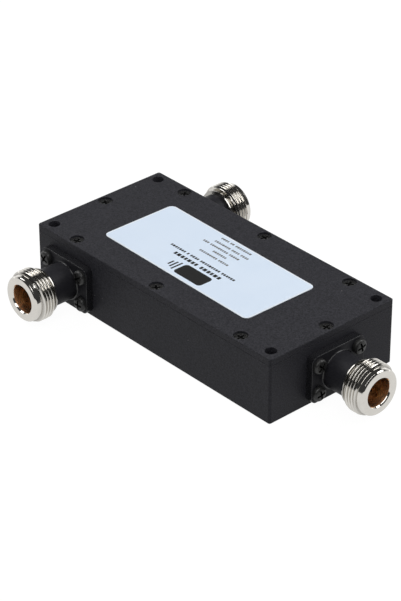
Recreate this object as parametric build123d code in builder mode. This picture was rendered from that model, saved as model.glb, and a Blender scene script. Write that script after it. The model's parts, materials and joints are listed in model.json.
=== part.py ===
from build123d import *
import os

# Two-way coaxial power splitter, in millimetres.
# Origin: centre of the underside. X runs along the box, the common port is at +X,
# the two branch ports face -Y and +Y near the other end, and Z is up.

# Box
body_length = 100.0
body_width = 47.5
body_height = 21.0
lid_thickness = 2.0
body_corner_radius = 0.8
edge_break = 0.25
wall = 6.0
pocket_corner_radius = 3.0

# Holes through the corners, for fixing the box to a plate
mount_hole_diameter = 3.5
mount_hole_inset = 3.5

# Lid screws, sunk in a short counterbore over a countersink
lid_screw_diameter = 2.5
lid_screw_length = 6.0
lid_screw_edge_inset = 2.8
lid_screw_end_inset = 14.8
countersink_diameter = 4.5
lid_screw_sink = 0.6
lid_recess_size = 2.5
lid_recess_depth = 0.8

# Cross-head recesses, alike in every screw
recess_slot_width = 0.55
recess_taper = 10

# Ports
port_height = 9.0
branch_inset = 14.8
flange_width = 20.0
flange_height = 15.0
flange_thickness = 2.3
flange_corner_radius = 1.8
neck_diameter = 11.6
neck_fillet = 0.7
ring_diameter = 13.8
thread_diameter = 15.875
nose_diameter = 14.0
nose_chamfer = 0.4
thread_chamfer = 0.55
port_length = 18.4
nose_length = 2.2
thread_length = 4.2
ring_length = 1.5

# Bore of a port, with the shoulder that its plug meets
socket_diameter = 8.1
socket_depth = 9.1
mouth_flare = 0.5
mouth_depth = 0.85
line_diameter = 7.0
seat_diameter = 8.6
seat_depth = 5.0
bead_setback = 0.7

# Centre contact of a port
contact_diameter = 3.04
contact_setback = 4.35
contact_hole_diameter = 1.65
contact_hole_depth = 5.2
tine_slot_width = 0.4
tine_slot_depth = 4.2
contact_core_diameter = 2.1
core_start = 0.5
tail_diameter = 1.3
tail_reach = 3.0
tip_chamfer = 0.2
sleeve_diameter = 4.4

# Pan-head flange screws
flange_screw_pitch_across = 15.3
flange_screw_pitch_up = 9.0
flange_screw_diameter = 2.5
flange_screw_length = 6.0
flange_screw_head_diameter = 4.5
flange_screw_head_height = 1.7
flange_screw_chamfer = 0.6
flange_recess_size = 2.6
flange_recess_depth = 0.9

# Circuit board and its screws
board_thickness = 0.8
board_gap = 0.25
board_screw_inset = 3.4
board_screw_diameter = 2.0
board_screw_length = 4.5
board_screw_head_diameter = 3.8
board_screw_head_height = 1.4
board_screw_chamfer = 0.5
board_recess_size = 1.9
board_recess_depth = 0.7

# Copper pattern: a line, three looped stages in a row, and two lines out
copper_thickness = 0.1
line_width = 2.2
arm_gap = 0.8
stage_length = 18.0
stage_width = 13.0
stage_spacing = 21.0
branch_to_stage = 15.2
stage_corner_radius = 5.0
stage_arm_widths = (0.8, 1.1, 1.4)

# Chip resistors and solder joints
resistor_length = 2.0
resistor_width = 1.25
resistor_height = 0.5
solder_diameter = 2.0
solder_height = 1.55
solder_chamfer = 0.7

# Label
label_length = 62.4
label_width = 26.4
label_thickness = 0.15
label_corner_radius = 1.8
label_x = -0.6
label_y = -0.8
label_turn = -1.0

# Clearances between mating pieces
screw_clearance = 0.05
hole_clearance = 0.3
fit_clearance = 0.05
solder_clearance = 0.02
hole_run_out = 0.6

# Places that follow from the sizes above
housing_height = body_height - lid_thickness
pocket_length = body_length - 2 * wall
pocket_width = body_width - 2 * wall
copper_top = port_height - tail_diameter / 2
board_top = copper_top - copper_thickness
pocket_floor = board_top - board_thickness
board_length = pocket_length - 2 * board_gap
board_width = pocket_width - 2 * board_gap

thread_end = port_length - nose_length
thread_start = thread_end - thread_length
ring_start = thread_start - ring_length
shoulder = port_length - socket_depth
bead_front = shoulder - bead_setback
contact_tip = port_length - contact_setback

mount_hole_spacing_x = body_length - 2 * mount_hole_inset
mount_hole_spacing_y = body_width - 2 * mount_hole_inset
board_screw_x = board_length / 2 - board_screw_inset
board_screw_y = board_width / 2 - board_screw_inset

branch_x = -body_length / 2 + branch_inset
lid_side_screw_x = body_length / 2 - lid_screw_end_inset
lid_side_screw_y = body_width / 2 - lid_screw_edge_inset
lid_end_screw_x = body_length / 2 - lid_screw_edge_inset
lid_screw_places = [
    (x, y)
    for x in (-lid_side_screw_x, 0, lid_side_screw_x)
    for y in (-lid_side_screw_y, lid_side_screw_y)
] + [(-lid_end_screw_x, 0), (lid_end_screw_x, 0)]
board_screw_places = [
    (x, y) for x in (-board_screw_x, 0, board_screw_x) for y in (-board_screw_y, board_screw_y)
]

# Each port's plane lies on the box wall: X across, Y up, Z out of the box
ports = {
    "common": Plane((body_length / 2, 0, port_height), x_dir=(0, 1, 0), z_dir=(1, 0, 0)),
    "near_branch": Plane(
        (branch_x, -body_width / 2, port_height), x_dir=(1, 0, 0), z_dir=(0, -1, 0)
    ),
    "far_branch": Plane(
        (branch_x, body_width / 2, port_height), x_dir=(-1, 0, 0), z_dir=(0, 1, 0)
    ),
}


def axial_section(face):
    """The plane through a port's axis: X is the radius, Y the distance out of the box."""
    return Plane(face.origin, x_dir=face.x_dir, z_dir=-face.y_dir)


def port_axis(face):
    return Axis(face.origin, face.z_dir)


def cross(size, width):
    """The outline of a cross-head recess, at each place in the current sketch."""
    Rectangle(size, width)
    Rectangle(width, size)


def strip(start_x, end_x, width, mode=Mode.ADD):
    """A straight strip along the board's middle line, in the current sketch."""
    with Locations(((start_x + end_x) / 2, 0)):
        Rectangle(end_x - start_x, width, mode=mode)


os.makedirs("parts", exist_ok=True)

# Housing: one milled block with a pocket open to the top
with BuildPart() as housing:
    with BuildSketch():
        RectangleRounded(body_length, body_width, body_corner_radius)
    extrude(amount=housing_height)
    chamfer(housing.faces().sort_by(Axis.Z)[0].outer_wire().edges(), length=edge_break)
    with BuildSketch(Plane.XY.offset(housing_height)):
        RectangleRounded(pocket_length, pocket_width, pocket_corner_radius)
    extrude(amount=pocket_floor - housing_height, mode=Mode.SUBTRACT)

    # Corner holes, right through
    with BuildSketch(Plane.XY.offset(housing_height)):
        with GridLocations(mount_hole_spacing_x, mount_hole_spacing_y, 2, 2):
            Circle(mount_hole_diameter / 2)
    extrude(amount=-housing_height, mode=Mode.SUBTRACT)

    # Tapped holes under the lid screws
    with BuildSketch(Plane.XY.offset(housing_height)):
        with Locations(*lid_screw_places):
            Circle(lid_screw_diameter / 2 + screw_clearance)
    extrude(amount=lid_thickness - lid_screw_length - hole_run_out, mode=Mode.SUBTRACT)

    # Tapped holes under the board screws
    with BuildSketch(Plane.XY.offset(pocket_floor)):
        with Locations(*board_screw_places):
            Circle(board_screw_diameter / 2 + screw_clearance)
    extrude(amount=board_thickness - board_screw_length - hole_run_out, mode=Mode.SUBTRACT)

    # Each port's passage through the wall, and its four tapped holes
    for face in ports.values():
        with BuildSketch(face):
            Circle(sleeve_diameter / 2 + fit_clearance)
        extrude(amount=-wall, mode=Mode.SUBTRACT)
        with BuildSketch(face):
            with GridLocations(flange_screw_pitch_across, flange_screw_pitch_up, 2, 2):
                Circle(flange_screw_diameter / 2 + screw_clearance)
        extrude(
            amount=flange_thickness - flange_screw_length - hole_run_out, mode=Mode.SUBTRACT
        )
housing.part.label = "housing"
export_step(housing.part, "parts/housing.step")

# Lid: a plate with sunk screw holes
with BuildPart() as lid:
    with BuildSketch(Plane.XY.offset(housing_height)):
        RectangleRounded(body_length, body_width, body_corner_radius)
    extrude(amount=lid_thickness)
    chamfer(lid.faces().sort_by(Axis.Z)[-1].outer_wire().edges(), length=edge_break)
    with BuildSketch(Plane.XY.offset(body_height)):
        with GridLocations(mount_hole_spacing_x, mount_hole_spacing_y, 2, 2):
            Circle(mount_hole_diameter / 2)
    extrude(amount=-lid_thickness, mode=Mode.SUBTRACT)
    with BuildSketch(Plane.XY.offset(body_height)):
        with Locations(*lid_screw_places):
            Circle(countersink_diameter / 2)
    extrude(amount=-lid_screw_sink, mode=Mode.SUBTRACT)
    with Locations(Plane.XY.offset(body_height - lid_screw_sink)):
        with Locations(*lid_screw_places):
            CounterSinkHole(
                radius=(lid_screw_diameter + hole_clearance) / 2,
                counter_sink_radius=countersink_diameter / 2,
                counter_sink_angle=90,
            )
lid.part.label = "lid"
export_step(lid.part, "parts/lid.step")

# Lid screws: flat heads at the counterbores' floors
lid_screw_top = body_height - lid_screw_sink
lid_screw_head_radius = countersink_diameter / 2 - screw_clearance
lid_screw_cone_height = lid_screw_head_radius - lid_screw_diameter / 2
with BuildPart() as lid_screws:
    with Locations(Plane.XY.offset(lid_screw_top)):
        with Locations(*lid_screw_places):
            Cone(
                bottom_radius=lid_screw_diameter / 2,
                top_radius=lid_screw_head_radius,
                height=lid_screw_cone_height,
                align=(Align.CENTER, Align.CENTER, Align.MAX),
            )
            Cylinder(
                radius=lid_screw_diameter / 2,
                height=lid_screw_length - lid_screw_sink,
                align=(Align.CENTER, Align.CENTER, Align.MAX),
            )
    with BuildSketch(Plane.XY.offset(lid_screw_top)):
        with Locations(*lid_screw_places):
            cross(lid_recess_size, recess_slot_width)
    extrude(amount=-lid_recess_depth, taper=recess_taper, mode=Mode.SUBTRACT)
lid_screws.part.label = "lid_screws"
export_step(lid_screws.part, "parts/lid_screws.step")

# Label: a thin sticker on the lid
with BuildPart() as label:
    with BuildSketch(Plane.XY.offset(body_height)):
        with Locations((label_x, label_y)):
            RectangleRounded(label_length, label_width, label_corner_radius, rotation=label_turn)
    extrude(amount=label_thickness)
label.part.label = "label"
export_step(label.part, "parts/label.step")

# Circuit board, held to the pocket's floor
with BuildPart() as circuit_board:
    with BuildSketch(Plane.XY.offset(pocket_floor)):
        RectangleRounded(board_length, board_width, pocket_corner_radius - board_gap)
        with Locations(*board_screw_places):
            Circle((board_screw_diameter + hole_clearance) / 2, mode=Mode.SUBTRACT)
    extrude(amount=board_thickness)
circuit_board.part.label = "circuit_board"
export_step(circuit_board.part, "parts/circuit_board.step")

# Copper: the common line meets both arms at the first stage, and a gap parts the arms from there
stage_centres = [
    branch_x + branch_to_stage + n * stage_spacing for n in reversed(range(len(stage_arm_widths)))
]
stage_join = min(stage_arm_widths) / 2
split_x = stage_centres[0] + stage_length / 2 - stage_join
last_stage_end = stage_centres[-1] - stage_length / 2 + stage_join
arm_pair_width = arm_gap + 2 * line_width
with BuildPart() as copper_traces:
    with BuildSketch(Plane.XY.offset(board_top)):
        strip(split_x, board_length / 2, line_width)
        for centre_x, arm_width in zip(stage_centres, stage_arm_widths):
            with Locations((centre_x, 0)):
                RectangleRounded(stage_length, stage_width, stage_corner_radius)
                RectangleRounded(
                    stage_length - 2 * arm_width,
                    stage_width - 2 * arm_width,
                    stage_corner_radius - arm_width,
                    mode=Mode.SUBTRACT,
                )
        for centre_x in stage_centres[1:]:
            stage_start = centre_x + stage_length / 2
            strip(
                stage_start - stage_join,
                stage_start + stage_spacing - stage_length + stage_join,
                arm_pair_width,
            )
        strip(branch_x, last_stage_end, arm_pair_width)
        with Locations((branch_x, 0)):
            Rectangle(line_width, board_width)
        strip(branch_x - line_width, split_x - stage_join, arm_gap, mode=Mode.SUBTRACT)
    extrude(amount=copper_thickness)
copper_traces.part.label = "copper_traces"
export_step(copper_traces.part, "parts/copper_traces.step")

# Isolation resistors: one chip across the gap after each stage
for number, centre_x in enumerate(stage_centres, start=1):
    resistor_x = centre_x - stage_spacing / 2
    with BuildPart(Plane.XY.offset(copper_top)) as resistor:
        with Locations((resistor_x, 0)):
            Box(
                resistor_width,
                resistor_length,
                resistor_height,
                align=(Align.CENTER, Align.CENTER, Align.MIN),
            )
    resistor.part.label = f"isolation_resistor_{number}"
    export_step(resistor.part, f"parts/isolation_resistor_{number}.step")

# Board screws: small pan heads on the board
with BuildPart(Plane.XY.offset(board_top)) as board_screws:
    with Locations(*board_screw_places):
        Cylinder(
            radius=board_screw_head_diameter / 2,
            height=board_screw_head_height,
            align=(Align.CENTER, Align.CENTER, Align.MIN),
        )
    chamfer(board_screws.faces().group_by(Axis.Z)[-1].edges(), length=board_screw_chamfer)
    with Locations(*board_screw_places):
        Cylinder(
            radius=board_screw_diameter / 2,
            height=board_screw_length,
            align=(Align.CENTER, Align.CENTER, Align.MAX),
        )
    with BuildSketch(Plane.XY.offset(board_top + board_screw_head_height)):
        with Locations(*board_screw_places):
            cross(board_recess_size, recess_slot_width)
    extrude(amount=-board_recess_depth, taper=recess_taper, mode=Mode.SUBTRACT)
board_screws.part.label = "board_screws"
export_step(board_screws.part, "parts/board_screws.step")

# Solder joints: a small mound round each contact's tail
solder_setback = wall + tail_reach / 2
with BuildPart() as solder_joints:
    with BuildSketch(Plane.XY.offset(copper_top)):
        with Locations(
            (body_length / 2 - solder_setback, 0),
            (branch_x, -body_width / 2 + solder_setback),
            (branch_x, body_width / 2 - solder_setback),
        ):
            Circle(solder_diameter / 2)
    extrude(amount=solder_height)
    chamfer(solder_joints.faces().group_by(Axis.Z)[-1].edges(), length=solder_chamfer)
    for face in ports.values():
        with BuildSketch(face):
            Circle(tail_diameter / 2 + solder_clearance)
        extrude(amount=-wall - tail_reach, mode=Mode.SUBTRACT)
solder_joints.part.label = "solder_joints"
export_step(solder_joints.part, "parts/solder_joints.step")

for port, face in ports.items():
    section = axial_section(face)
    axis = port_axis(face)

    # Shell: flange, neck, ring, threaded barrel and nose turned as one piece
    with BuildPart() as shell:
        with BuildSketch(face):
            RectangleRounded(flange_width, flange_height, flange_corner_radius)
        extrude(amount=flange_thickness)
        with BuildSketch(section):
            with BuildLine():
                RadiusArc(
                    (neck_diameter / 2 + neck_fillet, flange_thickness),
                    (neck_diameter / 2, flange_thickness + neck_fillet),
                    -neck_fillet,
                )
                Polyline(
                    (neck_diameter / 2, flange_thickness + neck_fillet),
                    (neck_diameter / 2, ring_start),
                    (ring_diameter / 2, ring_start),
                    (ring_diameter / 2, thread_start),
                    (thread_diameter / 2 - thread_chamfer, thread_start),
                    (thread_diameter / 2, thread_start + thread_chamfer),
                    (thread_diameter / 2, thread_end - thread_chamfer),
                    (thread_diameter / 2 - thread_chamfer, thread_end),
                    (nose_diameter / 2, thread_end),
                    (nose_diameter / 2, port_length - nose_chamfer),
                    (nose_diameter / 2 - nose_chamfer, port_length),
                    (0, port_length),
                    (0, flange_thickness / 2),
                    (neck_diameter / 2 + neck_fillet, flange_thickness / 2),
                    (neck_diameter / 2 + neck_fillet, flange_thickness),
                )
            make_face()
        revolve(axis=axis)
        with BuildSketch(section):
            with BuildLine():
                Polyline(
                    (0, 0),
                    (seat_diameter / 2, 0),
                    (seat_diameter / 2, seat_depth),
                    (line_diameter / 2, seat_depth),
                    (line_diameter / 2, shoulder),
                    (socket_diameter / 2, shoulder),
                    (socket_diameter / 2, port_length - mouth_depth),
                    (socket_diameter / 2 + mouth_flare, port_length),
                    (0, port_length),
                    close=True,
                )
            make_face()
        revolve(axis=axis, mode=Mode.SUBTRACT)
        with BuildSketch(face):
            with GridLocations(flange_screw_pitch_across, flange_screw_pitch_up, 2, 2):
                Circle((flange_screw_diameter + hole_clearance) / 2)
        extrude(amount=flange_thickness, mode=Mode.SUBTRACT)
    shell.part.label = f"{port}_shell"
    export_step(shell.part, f"parts/{port}_shell.step")

    # Insulator: a stepped bead pressed in from behind, with a sleeve through the box wall
    with BuildPart() as insulator:
        with BuildSketch(section):
            with BuildLine():
                Polyline(
                    (tail_diameter / 2 + fit_clearance, -wall),
                    (sleeve_diameter / 2, -wall),
                    (sleeve_diameter / 2, 0),
                    (seat_diameter / 2 - fit_clearance, 0),
                    (seat_diameter / 2 - fit_clearance, seat_depth),
                    (line_diameter / 2 - fit_clearance, seat_depth),
                    (line_diameter / 2 - fit_clearance, bead_front),
                    (contact_core_diameter / 2 + fit_clearance, bead_front),
                    (contact_core_diameter / 2 + fit_clearance, core_start),
                    (tail_diameter / 2 + fit_clearance, core_start),
                    close=True,
                )
            make_face()
        revolve(axis=axis)
    insulator.part.label = f"{port}_insulator"
    export_step(insulator.part, f"parts/{port}_insulator.step")

    # Contact: a slotted socket in front, a core in the bead and a tail over the board
    with BuildPart() as contact:
        with BuildSketch(section):
            with BuildLine():
                Polyline(
                    (0, -wall - tail_reach),
                    (tail_diameter / 2, -wall - tail_reach),
                    (tail_diameter / 2, core_start),
                    (contact_core_diameter / 2, core_start),
                    (contact_core_diameter / 2, bead_front),
                    (contact_diameter / 2, bead_front),
                    (contact_diameter / 2, contact_tip - tip_chamfer),
                    (contact_diameter / 2 - tip_chamfer, contact_tip),
                    (contact_hole_diameter / 2, contact_tip),
                    (contact_hole_diameter / 2, contact_tip - contact_hole_depth),
                    (0, contact_tip - contact_hole_depth),
                    close=True,
                )
            make_face()
        revolve(axis=axis)
        with BuildSketch(face.offset(contact_tip)):
            cross(2 * contact_diameter, tine_slot_width)
        extrude(amount=-tine_slot_depth, mode=Mode.SUBTRACT)
    contact.part.label = f"{port}_contact"
    export_step(contact.part, f"parts/{port}_contact.step")

    # Flange screws: four pan heads on the flange
    head_face = face.offset(flange_thickness)
    with BuildPart(head_face) as flange_screws:
        with GridLocations(flange_screw_pitch_across, flange_screw_pitch_up, 2, 2):
            Cylinder(
                radius=flange_screw_head_diameter / 2,
                height=flange_screw_head_height,
                align=(Align.CENTER, Align.CENTER, Align.MIN),
            )
        chamfer(flange_screws.faces().group_by(axis)[-1].edges(), length=flange_screw_chamfer)
        with GridLocations(flange_screw_pitch_across, flange_screw_pitch_up, 2, 2):
            Cylinder(
                radius=flange_screw_diameter / 2,
                height=flange_screw_length,
                align=(Align.CENTER, Align.CENTER, Align.MAX),
            )
        with BuildSketch(head_face.offset(flange_screw_head_height)):
            with GridLocations(flange_screw_pitch_across, flange_screw_pitch_up, 2, 2):
                cross(flange_recess_size, recess_slot_width)
        extrude(amount=-flange_recess_depth, taper=recess_taper, mode=Mode.SUBTRACT)
    flange_screws.part.label = f"{port}_flange_screws"
    export_step(flange_screws.part, f"parts/{port}_flange_screws.step")
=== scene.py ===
import json
import math

import bmesh
import bpy
from mathutils import Euler, Matrix, Vector


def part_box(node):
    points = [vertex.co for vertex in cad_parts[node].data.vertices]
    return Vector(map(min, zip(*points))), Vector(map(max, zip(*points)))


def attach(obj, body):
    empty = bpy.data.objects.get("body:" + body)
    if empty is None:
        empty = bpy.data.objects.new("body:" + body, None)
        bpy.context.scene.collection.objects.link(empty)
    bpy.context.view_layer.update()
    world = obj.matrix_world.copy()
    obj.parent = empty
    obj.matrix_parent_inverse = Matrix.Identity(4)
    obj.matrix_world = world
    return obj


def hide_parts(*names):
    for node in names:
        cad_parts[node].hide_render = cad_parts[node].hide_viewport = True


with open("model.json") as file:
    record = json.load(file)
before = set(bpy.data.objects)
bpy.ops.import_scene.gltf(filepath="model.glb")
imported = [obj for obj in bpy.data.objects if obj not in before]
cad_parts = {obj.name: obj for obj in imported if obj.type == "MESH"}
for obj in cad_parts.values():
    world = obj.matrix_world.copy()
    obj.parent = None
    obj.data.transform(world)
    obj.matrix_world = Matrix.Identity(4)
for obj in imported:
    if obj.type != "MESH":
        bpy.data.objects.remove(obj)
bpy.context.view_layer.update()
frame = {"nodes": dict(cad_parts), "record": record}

# Lengths are in metres, so a size is written as so many millimetres
MM = 0.001
UP = Vector((0, 0, 1))

# Camera, at the photograph's viewing angle
camera_place = Vector((453.43, -410.68, 383.73)) * MM
camera_aim = Vector((-0.6342, 0.56857, -0.52395))
camera_roll = math.radians(-0.083)
camera_lens = 148.2
camera_sensor = 36
camera_near = 0.01

# Softboxes: directions from the object, turns in degrees, lengths in metres, and brightness
softboxes = {
    "back_softbox": ((0.36, 0.6, 0.7), 40, 0.4, 10.5),
    "left_softbox": ((-0.63, -0.2, 0.74), -23, 0.4, 9.3),
    "front_softbox": ((0.33, -0.34, 0.88), 56, 0.6, 7.2),
}
softbox_distance = 0.5
softbox_width = 0.22

# Table top, which lies just under the part, and the share of its glow that rays see
table_size = 3.0
table_gap = 0.02 * MM
table_grey = 0.34
table_glow = 1.24
glow_to_camera = 0.78
glow_in_metal = 0.54

# Sky: its light on the object, dimmer lower down, and the bands that show in the metal
sky_light = 0.24
low_sky = 0.4
low_sky_end = 0.8
horizon_end = 0.06
room_level = 0.04
backdrop_sides = (0.2, 0.6)
backdrop_top = (0.28, 0.45)
backdrop_level = 0.9

# Tolerances in modelling, and how finely round shapes are divided
slack = 0.01 * MM
join_distance = 0.0002 * MM
sliver_length = 0.0001 * MM
cad_join_distance = 0.001 * MM
cad_flat_angle = math.radians(0.5)
rim_angle = math.radians(40)
sharp_angle = math.radians(38)
large_face_weight = 100
flat_normal = 0.99
turning_steps = 144
screw_steps = 48
contact_steps = 16
contact_tip_steps = 4
corner_steps = 8
rounding_steps = 3
easing_steps = 2
easing_reach = 0.48
seam_steps = 2
fillet_steps = 6
dome_steps = 7
flange_hole_steps = 24
label_corner_steps = 5
thread_ease_steps = 5

# Connector shell, measured out from the box wall along the port's axis
flange_height = 15 * MM
flange_thickness = 2.3 * MM
flange_corner = 1.8 * MM
flange_rim = 0.09 * MM
neck_radius = 5.8 * MM
neck_fillet = 0.4 * MM
ring_radius = 6.9 * MM
nose_radius = 7.0 * MM
nose_length = 1.9 * MM
nose_chamfer = 0.4 * MM
ring_length = 1.5 * MM
relief_radius = 6.15 * MM
relief_length = 0.85 * MM
face_radius = 4.62 * MM
mouth_radius = 4.32 * MM
mouth_depth = 0.52 * MM
socket_radius = 4.05 * MM
socket_depth = 9.1 * MM
taper_depth = 3 * MM
line_radius = 3.5 * MM
seat_radius = 4.3 * MM
seat_depth = 5 * MM
edge_round = 0.06 * MM
bore_margin = 0.1 * MM

# Centre contact, measured back from the face of the port
contact_radius = 1.52 * MM
contact_setback = 4.35 * MM
contact_hole_radius = 0.825 * MM
contact_hole_depth = 5.2 * MM
contact_tip_round = 0.3 * MM
contact_core_radius = 1.05 * MM
contact_core_setback = 9.8 * MM
core_start = 0.5 * MM
tail_radius = 0.65 * MM
tine_slot = 0.4 * MM
tine_length = 4.2 * MM

# Thread on the shell: 24 turns to the inch, its crests and roots rounded under the plating
thread_pitch = 25.4 / 24 * MM
thread_length = 4.5 * MM
thread_depth = 0.65 * thread_pitch
thread_chamfer = 0.55 * MM
thread_ease = 0.25 * thread_pitch
thread_step = 0.12 * MM
thread_flank = math.radians(30)
thread_peak = thread_ease * math.cos(thread_flank) / 2
thread_height = thread_pitch * math.cos(thread_flank)

# Screws. Below its rim, a recess narrows in steps: by how much, over which share of its depth.
# Each screw is stopped at its own angle, in degrees.
recess_slot = 0.62 * MM
recess_rim = 0.04 * MM
recess_steps = ((0.05 * MM, 0.7), (0.12 * MM, 0.3))
flange_screw_spacing = (15.3 * MM, 9 * MM)
flange_screw_radius = 1.25 * MM
flange_head_radius = 2.25 * MM
flange_head_height = 1.7 * MM
flange_head_dome = 0.6 * MM
flange_head_crown = 0.45 * MM
flange_recess_size = 3.0 * MM
flange_recess_depth = 0.9 * MM
flange_hole_radius = 1.4 * MM
flange_first_turn = 12
flange_port_turn = 17
flange_screw_turn = 31
lid_screw_radius = 1.25 * MM
lid_head_radius = 2.12 * MM
lid_screw_sink = 0.6 * MM
lid_recess_size = 2.5 * MM
lid_recess_depth = 0.8 * MM
lid_first_turn = 20
lid_screw_turn = 37

# Lid
lid_corner = 0.8 * MM
lid_edge = 0.25 * MM
seam_edge = 0.1 * MM
mount_hole_radius = 1.75 * MM
hole_rim = 0.05 * MM
countersink_radius = 2.15 * MM
clearance_radius = 1.4 * MM
lid_screw_edge_inset = 2.8 * MM
lid_screw_end_inset = 14.8 * MM

# Label and the plain shapes printed on it
label_length = 62.4 * MM
label_width = 26.4 * MM
label_corner = 1.8 * MM
label_turn = math.radians(-1)
label_sheet = 0.13 * MM
label_margin = 0.55 * MM
print_top = label_sheet + 0.01 * MM
print_corner = 0.1 * MM
badge_centre = (3.6 * MM, -8.8 * MM)
badge_size = (11.5 * MM, 5.6 * MM)
badge_corner = 1.2 * MM
bar_width = 0.6 * MM
bar_corner = 0.25 * MM

# Bars beside the badge: how far from its centre, and how high
badge_bars = ((7 * MM, 4.6 * MM), (8.3 * MM, 3.5 * MM), (9.6 * MM, 2.4 * MM))

# Rows of print: where each is across the label and where it starts along it, the blocks in each
# of its words, and a block's width and height
heading_rows = (
    (-4.3 * MM, -9.6 * MM, (7, 6), 1.5 * MM, 1.3 * MM),
    (-1.9 * MM, -13.9 * MM, (7, 1, 4, 9, 6), 0.95 * MM, 0.9 * MM),
)
small_rows = (
    (2.2 * MM, -6.0 * MM, (9, 5), 0.85 * MM, 0.8 * MM),
    (4.5 * MM, -2.8 * MM, (7,), 0.85 * MM, 0.8 * MM),
    (6.7 * MM, -9.5 * MM, (3, 9, 5), 0.85 * MM, 0.8 * MM),
    (8.9 * MM, -6.9 * MM, (8, 4, 4), 0.85 * MM, 0.8 * MM),
    (11.3 * MM, -6.7 * MM, (4, 2, 8), 0.85 * MM, 0.8 * MM),
)

# Shares of a block's width: those of the blocks in turn, and the gaps after a block and a word
block_widths = (0.62, 0.86, 0.72)
block_gap = 0.26
word_gap = 0.7

# Finishes: the range that most of a noise stays in, and the usual depth of a fine bump
noise_span = (0.3, 0.7)
fine_bump = 0.01 * MM

# Dust on the powder paint: the cells it is scattered over, a speck's share of one, and how
# rare the cells with a speck are
dust_cell = 3.4 * MM
dust_size = 0.045
dust_rarity = 0.86

# Painted shade on the turned metals: the brightness it leaves, how full it is down in the thread
# and on the ring behind, how far below the crests it ends, and how much duller both are made
painted_shade_level = 0.35
thread_shade = 0.75
ring_shade = 0.65
shade_end = 0.2
thread_dulling = 0.025
ring_dulling = 0.06
turning_skew = 0.02

# Half the length of a chip resistor's dark body, between its solder ends
chip_body_reach = 0.7 * MM

mounts = {mount["name"]: mount for mount in frame["record"]["mounts"]}
housing_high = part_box("housing")[1]
lid_low, lid_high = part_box("lid")


class Port:
    """One connector's place: its frame has Z out of the box, Y up and its origin on the wall."""

    def __init__(self, name):
        self.name = name
        mount = mounts[f"{name}_thread"]
        self.axis = Vector(mount["axis"])
        self.thread_radius = mount["dims"]["r_mm"] * MM
        low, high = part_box(f"{name}_shell")
        near, far = sorted((self.axis.dot(low), self.axis.dot(high)))
        self.length = far - near
        across = UP.cross(self.axis)
        self.flange_width = abs(across.dot(high - low))
        middle = Vector(mount["pos_m"])
        origin = middle + self.axis * (near - self.axis.dot(middle))
        turn = Matrix((across, UP, self.axis)).transposed()
        self.matrix = Matrix.Translation(origin) @ turn.to_4x4()


ports = [Port(name) for name in ("common", "near_branch", "far_branch")]


# Modelling


def edges_between(verts):
    """The edges that join these vertices to one another."""
    chosen = set(verts)
    linked = {edge for vert in chosen for edge in vert.link_edges}
    return [edge for edge in linked if set(edge.verts) <= chosen]


def circle(bm, radius, height, centre=(0, 0), steps=screw_steps):
    """A ring of edges lying flat at a height."""
    place = Matrix.Translation((*centre, height))
    made = bmesh.ops.create_circle(bm, segments=steps, radius=radius, matrix=place)
    return edges_between(made["verts"])


def rounded_rectangle(bm, length, width, corner, height, centre=(0, 0), steps=corner_steps):
    """The outline of a rectangle with round corners, lying flat at a height."""
    place = Matrix.Translation((*centre, height)) @ Matrix.Diagonal((length, width, 1, 1))
    sharp = bmesh.ops.create_grid(bm, x_segments=1, y_segments=1, size=0.5, matrix=place)
    made = bmesh.ops.bevel(
        bm,
        geom=sharp["verts"],
        offset=corner,
        offset_type="OFFSET",
        segments=steps,
        profile=0.5,
        affect="VERTICES",
        material=-1,
    )
    face = made["verts"][0].link_faces[0]
    edges = list(face.edges)
    bmesh.ops.delete(bm, geom=[face], context="FACES_ONLY")
    return edges


def stretch(bm, loop, core, out, up):
    """Extrudes a loop, moving it away from its core and up, and returns the new loop."""
    centre, half = core
    made = bmesh.ops.extrude_edge_only(bm, edges=loop)["geom"]
    verts = [item for item in made if isinstance(item, bmesh.types.BMVert)]
    for vert in verts:
        away = Vector((vert.co.x - centre[0], vert.co.y - centre[1], 0))
        away.x -= max(-half[0], min(half[0], away.x))
        away.y -= max(-half[1], min(half[1], away.y))
        vert.co += away.normalized() * out + UP * up
    return edges_between(verts)


def rounded_over(bm, loop, core, radius, inward=False):
    """Rolls a loop at a top face's edge over and down, as a quarter round."""
    side = -1 if inward else 1
    for step in range(rounding_steps):
        start = math.pi / 2 * step / rounding_steps
        end = math.pi / 2 * (step + 1) / rounding_steps
        out = radius * (math.sin(end) - math.sin(start))
        up = radius * (math.cos(end) - math.cos(start))
        loop = stretch(bm, loop, core, side * out, up)
    return loop


def fill(bm, *loops):
    """One flat face between an outline and the holes in it."""
    edges = [edge for loop in loops for edge in loop]
    bmesh.ops.triangle_fill(bm, use_beauty=True, use_dissolve=False, edges=edges)


def arc(centre, radius, start, end, steps):
    """Points along an arc, with angles in degrees."""
    angles = [math.radians(start + (end - start) * step / steps) for step in range(steps + 1)]
    return [
        (centre[0] + radius * math.cos(angle), centre[1] + radius * math.sin(angle))
        for angle in angles
    ]


def eased(outline, radius, steps=easing_steps):
    """The outline with each corner between its ends rounded."""
    points = [Vector(point) for point in outline]
    rounded = [points[0]]
    for before, corner, after in zip(points, points[1:], points[2:]):
        back = before - corner
        on = after - corner
        reach = min(radius, easing_reach * back.length, easing_reach * on.length)
        first = corner + back.normalized() * reach
        last = corner + on.normalized() * reach
        for step in range(steps + 1):
            share = step / steps
            rounded.append(first.lerp(corner, share).lerp(corner.lerp(last, share), share))
    return [*rounded, points[-1]]


def divided(outline, longest):
    """The outline with points added so that no step is longer than a length."""
    points = [outline[0]]
    for start, end in zip(outline, outline[1:]):
        steps = math.ceil((end - start).length / longest)
        points += [start.lerp(end, (step + 1) / steps) for step in range(steps)]
    return points


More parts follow.
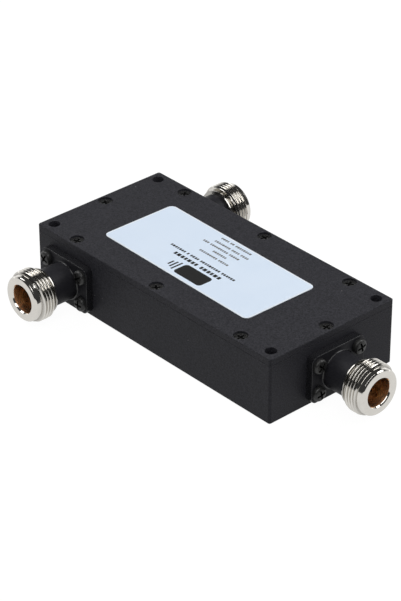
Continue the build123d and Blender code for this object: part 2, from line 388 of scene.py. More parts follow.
def turned(bm, outline, steps=turning_steps, rise=0.0):
    """Turns an outline of radius and height about Z, rising as it goes round."""
    verts = [bm.verts.new((radius, 0, height)) for radius, height in outline]
    edges = [bm.edges.new(pair) for pair in zip(verts, verts[1:])]
    bmesh.ops.spin(
        bm,
        geom=verts + edges,
        cent=(0, 0, 0),
        axis=UP,
        dvec=UP * rise / steps,
        angle=math.tau,
        steps=steps,
        use_merge=not rise,
        use_duplicate=False,
    )


def closed(bm):
    """Joins what touches and turns every face outwards."""
    bmesh.ops.remove_doubles(bm, verts=bm.verts, dist=join_distance)
    bmesh.ops.dissolve_degenerate(bm, edges=bm.edges, dist=sliver_length)
    bmesh.ops.recalc_face_normals(bm, faces=bm.faces)


def cross_recess(bm, size, depth, height):
    """Sinks a tapered cross below a height, and returns the edges round its mouth."""
    # Three by three squares, one wide, make a cross when the corner squares are gone
    place = Matrix.Translation(UP * height)
    grid = bmesh.ops.create_grid(bm, x_segments=3, y_segments=3, size=1.5, matrix=place)["verts"]
    corners = [v for v in grid if abs(v.co.x) > 1 and abs(v.co.y) > 1]
    for vert in grid:
        vert.co.x = math.copysign(size if abs(vert.co.x) > 1 else recess_slot, vert.co.x) / 2
        vert.co.y = math.copysign(size if abs(vert.co.y) > 1 else recess_slot, vert.co.y) / 2
    bmesh.ops.delete(bm, geom=corners, context="VERTS")
    faces = list({face for vert in grid if vert.is_valid for face in vert.link_faces})
    cross = bmesh.ops.dissolve_faces(bm, faces=faces, use_verts=False)["region"][0]
    cross.material_index = 1  # The recess's painted shade and dirt, which comes second in a screw's finishes
    mouth = list(cross.edges)
    if cross.normal.z < 0:
        cross.normal_flip()
    steps = [(inset, share * depth) for inset, share in recess_steps]
    for inset, sink in [(recess_rim, recess_rim), *steps]:
        bmesh.ops.inset_individual(
            bm, faces=[cross], thickness=inset, depth=-sink, use_even_offset=True
        )
    return mouth


def mesh_of(name, bm):
    """The mesh of what was modelled."""
    mesh = bpy.data.meshes.new(name)
    bm.to_mesh(mesh)
    bm.free()
    return mesh


def in_scene(name, data):
    """A new object in the scene."""
    made = bpy.data.objects.new(name, data)
    bpy.context.scene.collection.objects.link(made)
    return made


def piece(name, bm, finishes, node):
    """Makes a finished object of what was modelled, in place of a CAD node."""
    mesh = mesh_of(name, bm)
    for finish in finishes:
        mesh.materials.append(finish)
    mesh.shade_smooth()
    mesh.set_sharp_from_angle(angle=sharp_angle)
    made = in_scene(name, mesh)
    weighted = made.modifiers.new("even shading", "WEIGHTED_NORMAL")
    weighted.keep_sharp = True
    weighted.weight = large_face_weight
    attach(made, "root")
    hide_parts(node)


def smooth_copy(node):
    """A CAD node's mesh with its loose triangles joined, ready to be refined."""
    bm = bmesh.new()
    bm.from_mesh(frame["nodes"][node].data)
    bmesh.ops.remove_doubles(bm, verts=bm.verts, dist=cad_join_distance)
    bmesh.ops.dissolve_limit(bm, angle_limit=cad_flat_angle, verts=bm.verts, edges=bm.edges)
    return bm


# Finishes


class Value:
    """A number in a finish: arithmetic on it adds the nodes that work it out."""

    def __init__(self, finish, socket):
        self.finish = finish
        self.socket = socket

    def maths(self, operation, *terms):
        return self.finish.node("ShaderNodeMath", {"operation": operation}, dict(enumerate(terms)))

    def __add__(self, other):
        return self.maths("ADD", self, other)

    def __radd__(self, other):
        return self.maths("ADD", other, self)

    def __mul__(self, other):
        return self.maths("MULTIPLY", self, other)

    def __rmul__(self, other):
        return self.maths("MULTIPLY", other, self)

    def __pow__(self, power):
        return self.maths("POWER", self, power)

    def __lt__(self, other):
        return self.maths("LESS_THAN", self, other)

    def __gt__(self, other):
        return self.maths("GREATER_THAN", self, other)

    def __abs__(self):
        return self.maths("ABSOLUTE", self)


class Nodes:
    """A tree of nodes, with short ways to add the ones used most."""

    def __init__(self, tree):
        self.tree = tree

    def node(self, kind, settings, sockets, output=0):
        """Adds a node with its settings, then its sockets' values or links."""
        made = self.tree.nodes.new(kind)
        for name, value in settings.items():
            setattr(made, name, value)
        for name, value in sockets.items():
            if isinstance(value, Value):
                self.tree.links.new(value.socket, made.inputs[name])
            else:
                made.inputs[name].default_value = value
        return Value(self, made.outputs[output])

    def place(self):
        """Where a point of the surface is, in metres."""
        return self.node("ShaderNodeTexCoord", {}, {}, "Object")

    def place_in(self, location, rotation):
        """The same, in a frame with its own place and turn."""
        sockets = {"Vector": self.place(), "Location": location, "Rotation": rotation}
        return self.node("ShaderNodeMapping", {"vector_type": "TEXTURE"}, sockets)

    def part(self, vector, axis):
        return self.node("ShaderNodeSeparateXYZ", {}, {0: vector}, axis)

    def noise(self, place, size, detail=2.0, roughness=0.5):
        """Soft random variation with grains of about a size, from 0 to 1."""
        sockets = {"Vector": place, "Scale": 1 / size, "Detail": detail, "Roughness": roughness}
        return self.node("ShaderNodeTexNoise", {}, sockets, "Fac")

    def ranged(self, value, low, high, to_low=0.0, to_high=1.0):
        """A value taken from one range to another, and kept inside it."""
        sockets = {0: value, 1: low, 2: high, 3: to_low, 4: to_high}
        return self.node("ShaderNodeMapRange", {"clamp": True}, sockets)

    def mixed(self, share, first, second):
        """Two colours mixed: none of the second at 0, all of it at 1."""
        settings = {"data_type": "RGBA"}
        return self.node("ShaderNodeMix", settings, {0: share, 6: first, 7: second}, 2)

    def bump(self, height, distance=fine_bump):
        return self.node("ShaderNodeBump", {}, {"Height": height, "Distance": distance})

    def ray(self, kind):
        """1 on rays of a kind, such as the camera's, and 0 on others."""
        return self.node("ShaderNodeLightPath", {}, {}, kind)

    def blended(self, share, first, second):
        """Two shaders mixed: none of the second at 0, all of it at 1."""
        return self.node("ShaderNodeMixShader", {}, {0: share, 1: first, 2: second})

    def shown(self, shader):
        """Makes this the shader that the tree puts out."""
        output = next(node for node in self.tree.nodes if node.type.startswith("OUTPUT"))
        self.tree.links.new(shader.socket, output.inputs[0])


class Finish(Nodes):
    """A surface finish: its material, and the nodes that vary it over the surface."""

    def __init__(self, name, **sockets):
        self.material = bpy.data.materials.new(name)
        self.material.use_nodes = True
        super().__init__(self.material.node_tree)
        self.shader = self.tree.nodes["Principled BSDF"]
        for socket, value in sockets.items():
            self.shader.inputs[socket.replace("_", " ")].default_value = value

    def drives(self, socket, value):
        self.tree.links.new(value.socket, self.shader.inputs[socket])


def grey(level, blue=1.0):
    return (level, level, level * blue, 1)


def darker(colour, share):
    """A colour at a share of its brightness."""
    return [share * channel for channel in colour[:3]] + [1]


def powder_paint():
    """Black powder paint: a fine sandy grain, faint patches and a few specks of dust."""
    finish = Finish("black_powder_paint", Specular_IOR_Level=0.22)
    place = finish.place()
    grain = finish.noise(place, 0.4 * MM, detail=3, roughness=0.7)
    peel = finish.noise(place, 1.4 * MM, detail=1)
    patches = finish.noise(place, 14 * MM, detail=2)
    cell = {"Vector": place, "Scale": 1 / dust_cell}
    near = finish.node("ShaderNodeTexVoronoi", {}, cell, "Distance")
    chance = finish.node("ShaderNodeTexVoronoi", {}, cell, "Color")
    chance = finish.node("ShaderNodeSeparateColor", {}, {0: chance}, 0)
    speck = (near < dust_size) * (chance > dust_rarity)
    shade = finish.mixed(patches, grey(0.007, 1.4), grey(0.01, 1.4))
    shade = finish.mixed(finish.ranged(grain, 0.36, 0.66), shade, grey(0.042, 1.2))
    finish.drives("Base Color", finish.mixed(speck * 0.6, shade, grey(0.3)))
    finish.drives("Roughness", finish.ranged(grain + 0.4 * patches, 0.3, 0.9, 0.46, 0.62))
    finish.drives("Normal", finish.bump(grain + 0.6 * peel, distance=0.03 * MM))
    return finish.material


def smooth_paint(name, dull, shine, strength):
    """The same black on the connectors, thinner and smoother."""
    finish = Finish(name, Specular_IOR_Level=shine)
    place = finish.place()
    grain = finish.noise(place, 0.35 * MM, detail=2, roughness=0.5)
    shades = grey(0.008 * strength, 1.2), grey(0.017 * strength, 1.2)
    finish.drives("Base Color", finish.mixed(grain, *shades))
    finish.drives("Roughness", finish.ranged(grain, *noise_span, 0.85 * dull, 1.15 * dull))
    finish.drives("Normal", finish.bump(grain, distance=0.008 * MM))
    return finish.material


def turned_metal(name, port, colour, dull, stain):
    """Plated metal off the lathe: fine rings about the port's axis, and faint handling marks."""
    finish = Finish(name, Metallic=1.0)
    place = finish.place_in(port.matrix.to_translation(), port.matrix.to_euler())
    x, y, along = (finish.part(place, axis) for axis in "XYZ")
    radius = (x * x + y * y) ** 0.5
    skewed = {0: radius, 1: turning_skew * x, 2: along + turning_skew * y}
    rings = finish.node("ShaderNodeCombineXYZ", {}, skewed)
    marks = finish.noise(rings, 0.09 * MM, detail=3, roughness=0.7)
    cloud = finish.noise(place, 2.5 * MM, detail=3)
    tint = finish.mixed(finish.ranged(cloud, *noise_span), colour, darker(colour, stain))

    # Painted shade: darker down in the thread and on the ring behind it, but not in the bore
    thread_end = port.length - nose_length
    outside = radius > neck_radius - bore_margin
    threaded = outside * (along > thread_end - thread_length) * (along < thread_end)
    behind = outside * (along < thread_end - thread_length)
    crest = port.thread_radius - shade_end * thread_depth
    depth = finish.ranged(radius, crest - thread_depth, crest, thread_shade, 0.0)
    root_and_ring_shade = threaded * depth + ring_shade * behind
    finish.drives("Base Color", finish.mixed(root_and_ring_shade, tint, darker(colour, painted_shade_level)))
    polish = finish.ranged(marks + 0.4 * cloud, 0.4, 1.0, 0.7 * dull, 1.3 * dull)
    finish.drives("Roughness", polish + thread_dulling * threaded + ring_dulling * behind)
    finish.drives("Normal", finish.bump(marks, distance=0.0003 * MM))
    return finish.material


def black_steel():
    """Blackened lid screws: a dark oxide that still shines on its edges."""
    finish = Finish("black_steel", Metallic=0.8)
    grain = finish.noise(finish.place(), 0.3 * MM, detail=3, roughness=0.6)
    bare = finish.ranged(grain, 0.42, 0.7)
    finish.drives("Base Color", finish.mixed(bare, grey(0.03), grey(0.22)))
    finish.drives("Roughness", finish.ranged(grain, *noise_span, 0.25, 0.4))
    finish.drives("Normal", finish.bump(grain, distance=0.006 * MM))
    return finish.material


def satin_steel():
    """Flange screws under a thin coat of black, rubbed slightly grey on the high grains."""
    finish = Finish("satin_black_steel", Specular_IOR_Level=0.5)
    place = finish.place()
    grain = finish.noise(place, 0.25 * MM, detail=3, roughness=0.6)
    wear = finish.ranged(finish.noise(place, 1.2 * MM, detail=2), 0.55, 0.8)
    shade = finish.mixed(grain, grey(0.01), grey(0.028))
    finish.drives("Base Color", finish.mixed(wear * 0.5, shade, grey(0.06)))
    finish.drives("Roughness", finish.ranged(grain, *noise_span, 0.32, 0.44))
    finish.drives("Normal", finish.bump(grain))
    return finish.material


def dark_recess():
    """The inside of a screw's cross: painted shade, and a black coat that is thick and dirty
    there.
    """
    finish = Finish("dark_recess", Specular_IOR_Level=0.3, Roughness=0.5)
    grain = finish.noise(finish.place(), 0.15 * MM, detail=2)
    finish.drives("Base Color", finish.mixed(grain, grey(0.002), grey(0.01)))
    finish.drives("Normal", finish.bump(grain))
    return finish.material


def label_film():
    """Pale blue satin film, a little whiter along its cut edge."""
    finish = Finish("label_film", Specular_IOR_Level=0.35)
    place = finish.place_in(label_centre.to_3d(), (0, 0, label_turn))
    x, y = (finish.part(place, axis) for axis in "XY")
    far_x = abs(x) > label_length / 2 - label_margin
    far_y = abs(y) > label_width / 2 - label_margin
    edge = far_x.maths("MAXIMUM", far_x, far_y)
    cloud = finish.noise(place, 9 * MM, detail=2)
    fleck = finish.noise(place, 0.3 * MM, detail=1)
    pale_blue = (0.72, 0.83, 0.972, 1)
    paler_blue = (0.757, 0.858, 0.985, 1)
    near_white = (0.86, 0.9, 0.93, 1)
    film = finish.mixed(cloud, pale_blue, paler_blue)
    finish.drives("Base Color", finish.mixed(edge * 0.6, film, near_white))
    finish.drives("Roughness", finish.ranged(cloud, *noise_span, 0.32, 0.42))
    finish.drives("Normal", finish.bump(0.3 * fleck + cloud))
    return finish.material


def printed_ink(name, level):
    """Ink on the film, a little thinner in places."""
    finish = Finish(name, Roughness=0.55, Specular_IOR_Level=0.2)
    spread = finish.noise(finish.place(), 0.35 * MM, detail=3, roughness=0.6)
    finish.drives("Base Color", finish.mixed(spread, grey(0.7 * level), grey(1.5 * level)))
    return finish.material


def white_resin():
    """Waxy white insulator."""
    finish = Finish("white_resin", Roughness=0.38)
    cloud = finish.noise(finish.place(), 0.8 * MM, detail=2)
    cream = (0.8, 0.79, 0.75, 1)
    milk = (0.88, 0.88, 0.85, 1)
    finish.drives("Base Color", finish.mixed(cloud, cream, milk))
    finish.drives("Normal", finish.bump(cloud))
    return finish.material


def board_laminate():
    """Woven glass laminate under a clear resin."""
    finish = Finish("board_laminate", Roughness=0.45)
    place = finish.place()
    squares = {"Vector": place, "Scale": 1 / (0.45 * MM)}
    weave = finish.node("ShaderNodeTexChecker", {}, squares, "Fac")
    cloud = finish.noise(place, 3 * MM, detail=2)
    light_glass = (0.62, 0.58, 0.42, 1)
    dark_glass = (0.52, 0.47, 0.32, 1)
    thick_resin = (0.7, 0.66, 0.5, 1)
    cloth = finish.mixed(weave * 0.4, light_glass, dark_glass)
    finish.drives("Base Color", finish.mixed(cloud * 0.4, cloth, thick_resin))
    finish.drives("Normal", finish.bump(weave))
    return finish.material


def bare_metal(name, colour, dull):
    """Plain metal with a slight stain and grain."""
    finish = Finish(name, Metallic=1.0)
    place = finish.place()
    stain = finish.noise(place, 1.8 * MM, detail=3)
    grain = finish.noise(place, 0.12 * MM, detail=2)
    tint = finish.mixed(finish.ranged(stain, 0.35, 0.7), colour, darker(colour, 0.7))
    finish.drives("Base Color", tint)
    finish.drives("Roughness", finish.ranged(grain, *noise_span, 0.7 * dull, 1.3 * dull))
    finish.drives("Normal", finish.bump(grain, distance=0.004 * MM))
    return finish.material


def chip_ceramic():
    """Dark glaze of a chip resistor, with bright solder ends."""
    finish = Finish("chip_ceramic", Roughness=0.4)
    place = finish.place()
    across = finish.part(place, "Y")
    ends = abs(across) > chip_body_reach
    cloud = finish.noise(place, 0.3 * MM, detail=2)
    body = finish.mixed(cloud, grey(0.012), grey(0.03))
    finish.drives("Base Color", finish.mixed(ends, body, grey(0.6)))
    finish.drives("Metallic", ends * 0.9)
    return finish.material


# Pieces of the box


def on_rim(point):
    """Whether a point of the housing is on the outline of its top."""
    x, y = abs(point.x) + slack, abs(point.y) + slack
    at_corner = x > housing_high.x - lid_corner and y > housing_high.y - lid_corner
    at_side = x > housing_high.x or y > housing_high.y
    return abs(point.z - housing_high.z) < slack and (at_corner or at_side)


def make_housing(paint):
    """The milled block, with its upper edge eased where the lid's seam runs."""
    bm = smooth_copy("housing")
    top = [edge for edge in bm.edges if all(on_rim(vert.co) for vert in edge.verts)]
    rim = [edge for edge in top if edge.calc_face_angle(0) > rim_angle]
    bmesh.ops.bevel(
        bm,
        geom=rim,
        offset=seam_edge,
        offset_type="OFFSET",
        segments=seam_steps,
        profile=0.5,
        affect="EDGES",
        material=-1,
    )
    piece("housing_block", bm, [paint], "housing")


def lid_screw_places():
    """Where the eight lid screws are."""
    side_x = lid_high.x - lid_screw_end_inset
    side_y = lid_high.y - lid_screw_edge_inset
    end_x = lid_high.x - lid_screw_edge_inset
    sides = [(x, y) for y in (-side_y, side_y) for x in (-side_x, 0, side_x)]
    return [*sides, (-end_x, 0), (end_x, 0)]


def make_lid(paint):
    """The lid: rounded outer edges, four through-holes and eight countersinks."""
    bm = bmesh.new()
    length, width = 2 * lid_high.x, 2 * lid_high.y
    core = ((0, 0), (length / 2 - lid_corner, width / 2 - lid_corner))
    depth = lid_high.z - lid_low.z
    outline = rounded_rectangle(
        bm, length - 2 * lid_edge, width - 2 * lid_edge, lid_corner - lid_edge, lid_high.z
    )
    top = [outline]
    side = rounded_over(bm, outline, core, lid_edge)
    side = stretch(bm, side, core, 0, -(depth - lid_edge - seam_edge))
    bottom = [stretch(bm, side, core, -seam_edge, -seam_edge)]

    pattern = mounts["corner_holes"]["dims"]
    reach = (pattern["spacing_x_mm"] * MM / 2, pattern["spacing_y_mm"] * MM / 2)
    for centre in [(sx * reach[0], sy * reach[1]) for sx in (-1, 1) for sy in (-1, 1)]:
        mouth = circle(bm, mount_hole_radius + hole_rim, lid_high.z, centre)
        top.append(mouth)
        wall = rounded_over(bm, mouth, (centre, (0, 0)), hole_rim, inward=True)
        bottom.append(stretch(bm, wall, (centre, (0, 0)), 0, -(depth - hole_rim)))

    slope = countersink_radius - clearance_radius
    for centre in lid_screw_places():
        point = (centre, (0, 0))
        mouth = circle(bm, countersink_radius + hole_rim, lid_high.z, centre)
        top.append(mouth)
        wall = rounded_over(bm, mouth, point, hole_rim, inward=True)
        wall = stretch(bm, wall, point, 0, hole_rim - lid_screw_sink)
        wall = stretch(bm, wall, point, -slope, -slope)
        bottom.append(stretch(bm, wall, point, 0, lid_screw_sink + slope - depth))
    fill(bm, *top)
    fill(bm, *bottom)
    closed(bm)
    piece("lid_plate", bm, [paint], "lid")


def screw(bm, outline, flat_radius, recess_size, recess_depth, place, crown=0.0):
    """A turned screw with a cross recess in its flat, crowned by a height and set in a place."""
    made = bmesh.new()
    turned(made, outline, screw_steps)
    rim = circle(made, flat_radius, outline[0][1])
    mouth = cross_recess(made, recess_size, recess_depth, outline[0][1])
    fill(made, rim, mouth)
    closed(made)
    head_radius = max(radius for radius, height in outline)
    for vert in made.verts:
        if vert.co.z > -recess_depth - recess_rim:
            vert.co.z -= crown * (vert.co.to_2d().length / head_radius) ** 2
    made.transform(place)
    scratch = mesh_of("screw", made)
    bm.from_mesh(scratch)
    bpy.data.meshes.remove(scratch)


def make_lid_screws(steel, recess_dirt_and_shade):
    """Eight flat heads sunk a little below the lid, each stopped at its own angle."""
    bm = bmesh.new()
    low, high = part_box("lid_screws")
    flat = lid_head_radius - edge_round
    neck = lid_head_radius - lid_screw_radius
    length = high.z - low.z
    outline = [
        (flat, 0),
        (lid_head_radius, -edge_round),
        (lid_screw_radius, -neck),
        (lid_screw_radius, -length + edge_round),
        (lid_screw_radius - edge_round, -length),
        (0, -length),
    ]
    for number, (x, y) in enumerate(lid_screw_places()):
        turn = Matrix.Rotation(math.radians(lid_first_turn + lid_screw_turn * number), 4, "Z")
        place = Matrix.Translation((x, y, lid_high.z - lid_screw_sink)) @ turn
        screw(bm, outline, flat, lid_recess_size, lid_recess_depth, place)
    piece("lid_screw_heads", bm, [steel, recess_dirt_and_shade], "lid_screws")


def slab(bm, centre, length, width, corner, low, high):
    """A thin plate with round corners, closed above and below."""
    core = (centre, (length / 2 - corner, width / 2 - corner))
    upper = rounded_rectangle(bm, length, width, corner, high, centre, label_corner_steps)
    lower = stretch(bm, upper, core, 0, low - high)
    fill(bm, upper)
    fill(bm, lower)


label_low, label_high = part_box("label")
label_centre = ((label_low + label_high) / 2).to_2d()


def on_label():
    """From the label's own plane, X along it, to the lid."""
    return Matrix.Translation((*label_centre, lid_high.z)) @ Matrix.Rotation(label_turn, 4, "Z")


def print_row(bm, across, start, words, block, height):
    """A row of words, each a run of plain blocks of three widths."""
    for blocks in words:
        for number in range(blocks):
            width = block * block_widths[number % len(block_widths)]
            centre = (start + width / 2, across)
            slab(bm, centre, width, height, print_corner, label_sheet, print_top)
            start += width + block_gap * block
        start += word_gap * block


def make_label(film, dark_ink, grey_ink):
    """The label's film, and on it a plain block, a heading and rows of small blocks."""
    bm = bmesh.new()
    slab(bm, (0, 0), label_length, label_width, label_corner, 0, label_sheet)
    closed(bm)
    bm.transform(on_label())
    piece("label_film", bm, [film], "label")

    bm = bmesh.new()
    slab(bm, badge_centre, *badge_size, badge_corner, label_sheet, print_top)
    for reach, height in badge_bars:
        centre = (badge_centre[0] - reach, badge_centre[1])
        slab(bm, centre, bar_width, height, bar_corner, label_sheet, print_top)
    for row in heading_rows:
        print_row(bm, *row)
    closed(bm)
    bm.transform(on_label())
    piece("label_heading", bm, [dark_ink], "label")

    bm = bmesh.new()
    for row in small_rows:
        print_row(bm, *row)
    closed(bm)
    bm.transform(on_label())
    piece("label_small_print", bm, [grey_ink], "label")


# Pieces of a connector


def thread_outline(radius, start, end):
    """A thread's section in (radius, height): sharp 60 degree ridges, then rounded over."""
    high = radius + thread_peak
    low = high - thread_height
    turns = range(-1, math.ceil((end - start) / thread_pitch) + 1)
    heights = [start + turn * thread_pitch for turn in turns]
    ridge = ((low, 0), (high, thread_pitch / 2))
    corners = [(r, height + z) for height in heights for r, z in ridge]
    return divided(eased(corners, thread_ease, thread_ease_steps), thread_step)


def make_thread(bm, radius, start, end):
    """A right-handed thread between two heights, its ends cut back to a chamfer."""
    end_radius = radius - thread_chamfer
    before = set(bm.verts)
    turned(bm, thread_outline(radius, start, end), rise=thread_pitch)
    for vert in set(bm.verts) - before:
        height = vert.co.z
        around = Vector((vert.co.x, vert.co.y, 0))
        if height <= start or height >= end:
            reach = end_radius
        else:
            reach = min(around.length, end_radius + height - start, end_radius + end - height)
        vert.co = around.normalized() * reach + UP * min(max(height, start), end)
    return end_radius


def make_shell(port, paint, nickel, brass, shaded_gloss):
    """A connector shell: flange, neck, ring, threaded barrel, nose and stepped bore in one."""
    bm = bmesh.new()
    thread_end = port.length - nose_length
    thread_start = thread_end - thread_length
    ring_start = thread_start - ring_length
    shoulder = port.length - socket_depth
    end_radius = make_thread(bm, port.thread_radius, thread_start, thread_end)

    fillet_centre = (neck_radius + neck_fillet, flange_thickness + neck_fillet)
    neck = arc(fillet_centre, neck_fillet, 270, 180, fillet_steps)
    ring = [
        (neck_radius, ring_start),
        (ring_radius, ring_start),
        (ring_radius, thread_start - relief_length),
        (relief_radius, thread_start - relief_length),
        (relief_radius, thread_start),
        (end_radius, thread_start),
    ]
    turned(bm, neck + eased([neck[-1], *ring], edge_round)[1:])
    nose = [
        (end_radius, thread_end),
        (nose_radius, thread_end),
        (nose_radius, port.length - nose_chamfer),
        (nose_radius - nose_chamfer, port.length),
        (face_radius, port.length),
        (mouth_radius, port.length - mouth_depth),
        (socket_radius, port.length - taper_depth),
        (socket_radius, shoulder),
        (line_radius, shoulder),
        (line_radius, seat_depth),
        (seat_radius, seat_depth),
        (seat_radius, 0),
    ]
    turned(bm, eased(nose, edge_round))

    width, corner = port.flange_width, flange_corner
    core = ((0, 0), (width / 2 - corner, flange_height / 2 - corner))
    outline = rounded_rectangle(
        bm,
        width - 2 * flange_rim,
        flange_height - 2 * flange_rim,
        corner - flange_rim,
        flange_thickness,
    )
    side = rounded_over(bm, outline, core, flange_rim)
    front = [outline, circle(bm, neck[0][0], flange_thickness, steps=turning_steps)]
    back = [
        stretch(bm, side, core, 0, flange_rim - flange_thickness),
        circle(bm, seat_radius, 0, steps=turning_steps),
    ]
    for centre in flange_screw_places():
        mouth = circle(bm, flange_hole_radius, flange_thickness, centre, flange_hole_steps)
        front.append(mouth)
        back.append(stretch(bm, mouth, (centre, (0, 0)), 0, -flange_thickness))
    fill(bm, *front)
    fill(bm, *back)
    closed(bm)

    # Brass in the bore, nickel from the ring on, and on the flange's sides and the fillet a
    # shinier paint whose darker colour is painted shade
    finishes = [paint, nickel, brass, shaded_gloss]
    for face in bm.faces:
        middle = face.calc_center_median()
        low = slack < middle.z < flange_thickness + neck_fillet
        if middle.to_2d().length < mouth_radius:
            face.material_index = finishes.index(brass)
        elif middle.z > ring_start - slack:
            face.material_index = finishes.index(nickel)
        elif low and abs(face.normal.z) < flat_normal:
            face.material_index = finishes.index(shaded_gloss)
    bm.transform(port.matrix)
    name = f"{port.name}_connector_shell"
    piece(name, bm, finishes, f"{port.name}_shell")


def make_contact(port, gold):
    """A gold contact: four sprung tines round a hole, on a core with a thin tail."""
    bm = bmesh.new()
    low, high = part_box(f"{port.name}_contact")
    near = min(port.axis.dot(low), port.axis.dot(high))
    tail_end = near - port.axis.dot(port.matrix.to_translation())
    tip = port.length - contact_setback
    root = tip - tine_length
    start = port.length - contact_core_setback
    body = [
        (0, tip - contact_hole_depth),
        (contact_hole_radius, tip - contact_hole_depth),
        (contact_hole_radius, root),
        (contact_radius, root),
        (contact_radius, start),
        (contact_core_radius, start),
        (contact_core_radius, core_start),
        (tail_radius, core_start),
        (tail_radius, tail_end),
        (0, tail_end),
    ]
    turned(bm, eased(body, edge_round), 4 * contact_steps)

    # Each tine is a quarter turn, then narrowed so that the slots' walls are parallel
    rounding = (contact_radius - contact_tip_round, tip - contact_tip_round)
    tine = arc(rounding, contact_tip_round, 0, 90, contact_tip_steps)
    tine = [(contact_radius, root), *tine, (contact_hole_radius + edge_round, tip)]
    tine += [(contact_hole_radius, tip - edge_round), (contact_hole_radius, root)]
    for quarter in range(4):
        others = set(bm.verts)
        face = bm.faces.new([bm.verts.new((radius, 0, height)) for radius, height in tine])
        bmesh.ops.spin(
            bm,
            geom=[face],
            cent=(0, 0, 0),
            axis=UP,
            angle=math.pi / 2,
            steps=contact_steps,
        )
        for vert in set(bm.verts) - others:
            around = vert.co.to_2d()
            angle = math.atan2(around.y, around.x) - math.pi / 4
            half = math.pi / 4 - math.asin(tine_slot / 2 / around.length)
            angle = angle * half / (math.pi / 4) + math.pi / 2 * quarter
            vert.co.x = around.length * math.cos(angle)
            vert.co.y = around.length * math.sin(angle)
    closed(bm)
    bm.transform(port.matrix)
    name = f"{port.name}_centre_contact"
    piece(name, bm, [gold], f"{port.name}_contact")


def flange_screw_places():
    """Where a flange's four screws are, in the port's frame."""
    x, y = (spacing / 2 for spacing in flange_screw_spacing)
    return [(sx * x, sy * y) for sx in (-1, 1) for sy in (-1, 1)]


def make_flange_screws(port, first_turn, steel, recess_dirt_and_shade):
    """Four domed heads on a flange."""
    bm = bmesh.new()
    low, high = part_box(f"{port.name}_flange_screws")
    length = abs(port.axis.dot(high - low)) - flange_head_height
    flat = flange_head_radius - flange_head_dome
    dome = arc((flat, -flange_head_dome), flange_head_dome, 90, 0, dome_steps)
    foot = [
        (flange_head_radius, -flange_head_height),
        (flange_screw_radius, -flange_head_height),
        (flange_screw_radius, -flange_head_height - length),
        (0, -flange_head_height - length),
    ]
    outline = dome + eased([dome[-1], *foot], edge_round)[1:]
    for number, (x, y) in enumerate(flange_screw_places()):
        turn = Matrix.Rotation(math.radians(first_turn + flange_screw_turn * number), 4, "Z")
        top = Matrix.Translation((x, y, flange_thickness + flange_head_height))
        place = port.matrix @ top @ turn
        screw(bm, outline, flat, flange_recess_size, flange_recess_depth, place, flange_head_crown)
    name = f"{port.name}_screw_heads"
    piece(name, bm, [steel, recess_dirt_and_shade], f"{port.name}_flange_screws")


def make_from_cad(node, name, finish):
    """A CAD node's own shape, smoothly shaded."""
    piece(name, smooth_copy(node), [finish], node)


# Building the object


paint = powder_paint()
port_paint = smooth_paint("black_smooth_paint", dull=0.5, shine=0.18, strength=1.5)
# Shinier and darker than the paint above: its darkness on the flange's sides is painted shade
shaded_gloss = smooth_paint("black_gloss_paint", dull=0.28, shine=0.6, strength=0.9)
steel = black_steel()
satin = satin_steel()
recess_dirt_and_shade = dark_recess()
resin = white_resin()
make_housing(paint)
make_lid(paint)
make_lid_screws(steel, recess_dirt_and_shade)
dark_ink = printed_ink("dark_ink", level=0.012)
grey_ink = printed_ink("grey_ink", level=0.14)
make_label(label_film(), dark_ink, grey_ink)

# The turned metals: colour, how dull it is, and the brightness that its stains leave
metals = {
    "nickel": ((0.8, 0.775, 0.725, 1), 0.09, 0.95),
    "gold": ((0.92, 0.62, 0.26, 1), 0.2, 0.95),
    "brass": ((0.78, 0.565, 0.385, 1), 0.28, 0.97),
}
for number, port in enumerate(ports):
    nickel, gold, brass = (
        turned_metal(f"{metal}_{port.name}", port, *look) for metal, look in metals.items()
    )
    make_shell(port, port_paint, nickel, brass, shaded_gloss)
    make_flange_screws(port, flange_first_turn + flange_port_turn * number, satin, recess_dirt_and_shade)
    make_contact(port, gold)
    make_from_cad(f"{port.name}_insulator", f"{port.name}_bead", resin)

# Inside the box, the CAD pieces keep their shapes
inner_finishes = {
    "circuit_board": board_laminate(),
    "copper_traces": bare_metal("copper_foil", (0.78, 0.42, 0.26, 1), dull=0.3),
    "solder_joints": bare_metal("solder_tin", (0.7, 0.71, 0.73, 1), dull=0.25),
    "board_screws": bare_metal("zinc_steel", (0.6, 0.6, 0.61, 1), dull=0.35),
}
chip = chip_ceramic()
for number in (1, 2, 3):
    inner_finishes[f"isolation_resistor_{number}"] = chip
for node, finish in inner_finishes.items():
    for slot in frame["nodes"][node].material_slots:
        slot.material = finish


# Studio


def make_floor():
    """A white table, wide enough to show in the metal, and clear when seen from below."""
    bm = bmesh.new()
    place = Matrix.Translation(UP * -table_gap)
    bmesh.ops.create_grid(bm, x_segments=1, y_segments=1, size=table_size, matrix=place)
    mesh = mesh_of("table_top", bm)
    matt = {"Roughness": 0.9, "Specular_IOR_Level": 0.1, "Base_Color": grey(table_grey)}
    finish = Finish("table_white", **matt)
    by_camera = finish.ray("Is Camera Ray")
    by_mirror = finish.ray("Is Glossy Ray")
    lit = Value(finish, finish.shader.outputs[0])
    white = finish.node("ShaderNodeEmission", {}, {"Color": grey(1), "Strength": table_glow})
    top = finish.blended(glow_to_camera * by_camera + glow_in_metal * by_mirror, lit, white)
    below = finish.node("ShaderNodeNewGeometry", {}, {}, "Backfacing")
    clear = finish.node("ShaderNodeBsdfTransparent", {}, {})
    finish.shown(finish.blended(below, top, clear))
    mesh.materials.append(finish.material)
    floor = in_scene("table_top", mesh)


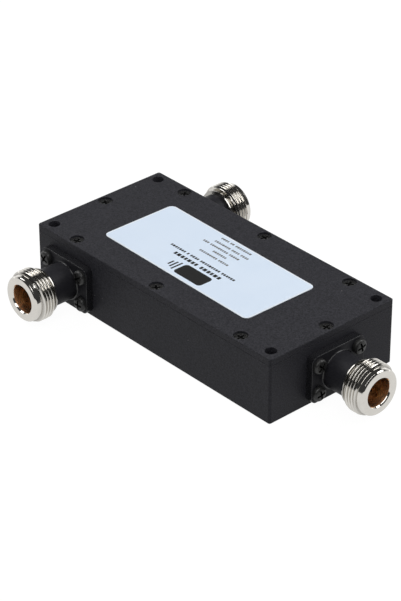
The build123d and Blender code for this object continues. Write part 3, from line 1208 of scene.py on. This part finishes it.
def make_sky():
    """White to the camera; in the metal a bright horizon, a grey backdrop and a dark room."""
    world = bpy.data.worlds.new("studio")
    bpy.context.scene.world = world
    world.use_nodes = True
    sky = Nodes(world.node_tree)
    direction = sky.node("ShaderNodeTexCoord", {}, {}, "Generated")
    height = sky.part(direction, "Z")
    ahead = camera_aim.to_2d().normalized()
    behind = sky.part(direction, "X") * ahead.x + sky.part(direction, "Y") * ahead.y
    horizon = sky.ranged(height, 0.0, horizon_end, 1.0, room_level)
    backdrop = sky.ranged(height, *backdrop_top, backdrop_level, 0.0)
    backdrop = sky.ranged(behind, *backdrop_sides) * backdrop
    overhead = sky.ranged(height, 0.0, low_sky_end, low_sky * sky_light, sky_light)
    seen, light, white = (
        sky.node("ShaderNodeBackground", {}, {0: grey(1), 1: level})
        for level in (horizon + backdrop, overhead, 1.0)
    )
    unseen = sky.blended(sky.ray("Is Glossy Ray"), light, seen)
    sky.shown(sky.blended(sky.ray("Is Camera Ray"), unseen, white))


def turned_towards(direction, axis, roll):
    """The turn that points an axis in a direction, rolled about it."""
    turn = direction.to_track_quat(axis, "Y") @ Euler((0, 0, roll)).to_quaternion()
    return turn.to_euler()


def make_softbox(name, place, turn, length, glow):
    """A long soft light, pointing at the object."""
    lamp = bpy.data.lights.new(name, "AREA")
    lamp.shape = "RECTANGLE"
    lamp.size = length
    lamp.size_y = softbox_width
    lamp.energy = glow * length * softbox_width
    made = in_scene(name, lamp)
    made.location = place
    made.rotation_euler = turned_towards(place, "Z", math.radians(turn))


def make_camera():
    """The camera, where the photograph's was."""
    camera = bpy.data.cameras.new("camera")
    camera.lens = camera_lens
    camera.sensor_width = camera_sensor
    camera.clip_start = camera_near
    made = in_scene("camera", camera)
    made.location = camera_place
    made.rotation_euler = turned_towards(camera_aim, "-Z", camera_roll)
    bpy.context.scene.camera = made


make_floor()
make_sky()
for name, (direction, turn, length, glow) in softboxes.items():
    make_softbox(name, Vector(direction).normalized() * softbox_distance, turn, length, glow)
make_camera()
bpy.context.scene.view_settings.view_transform = "Standard"
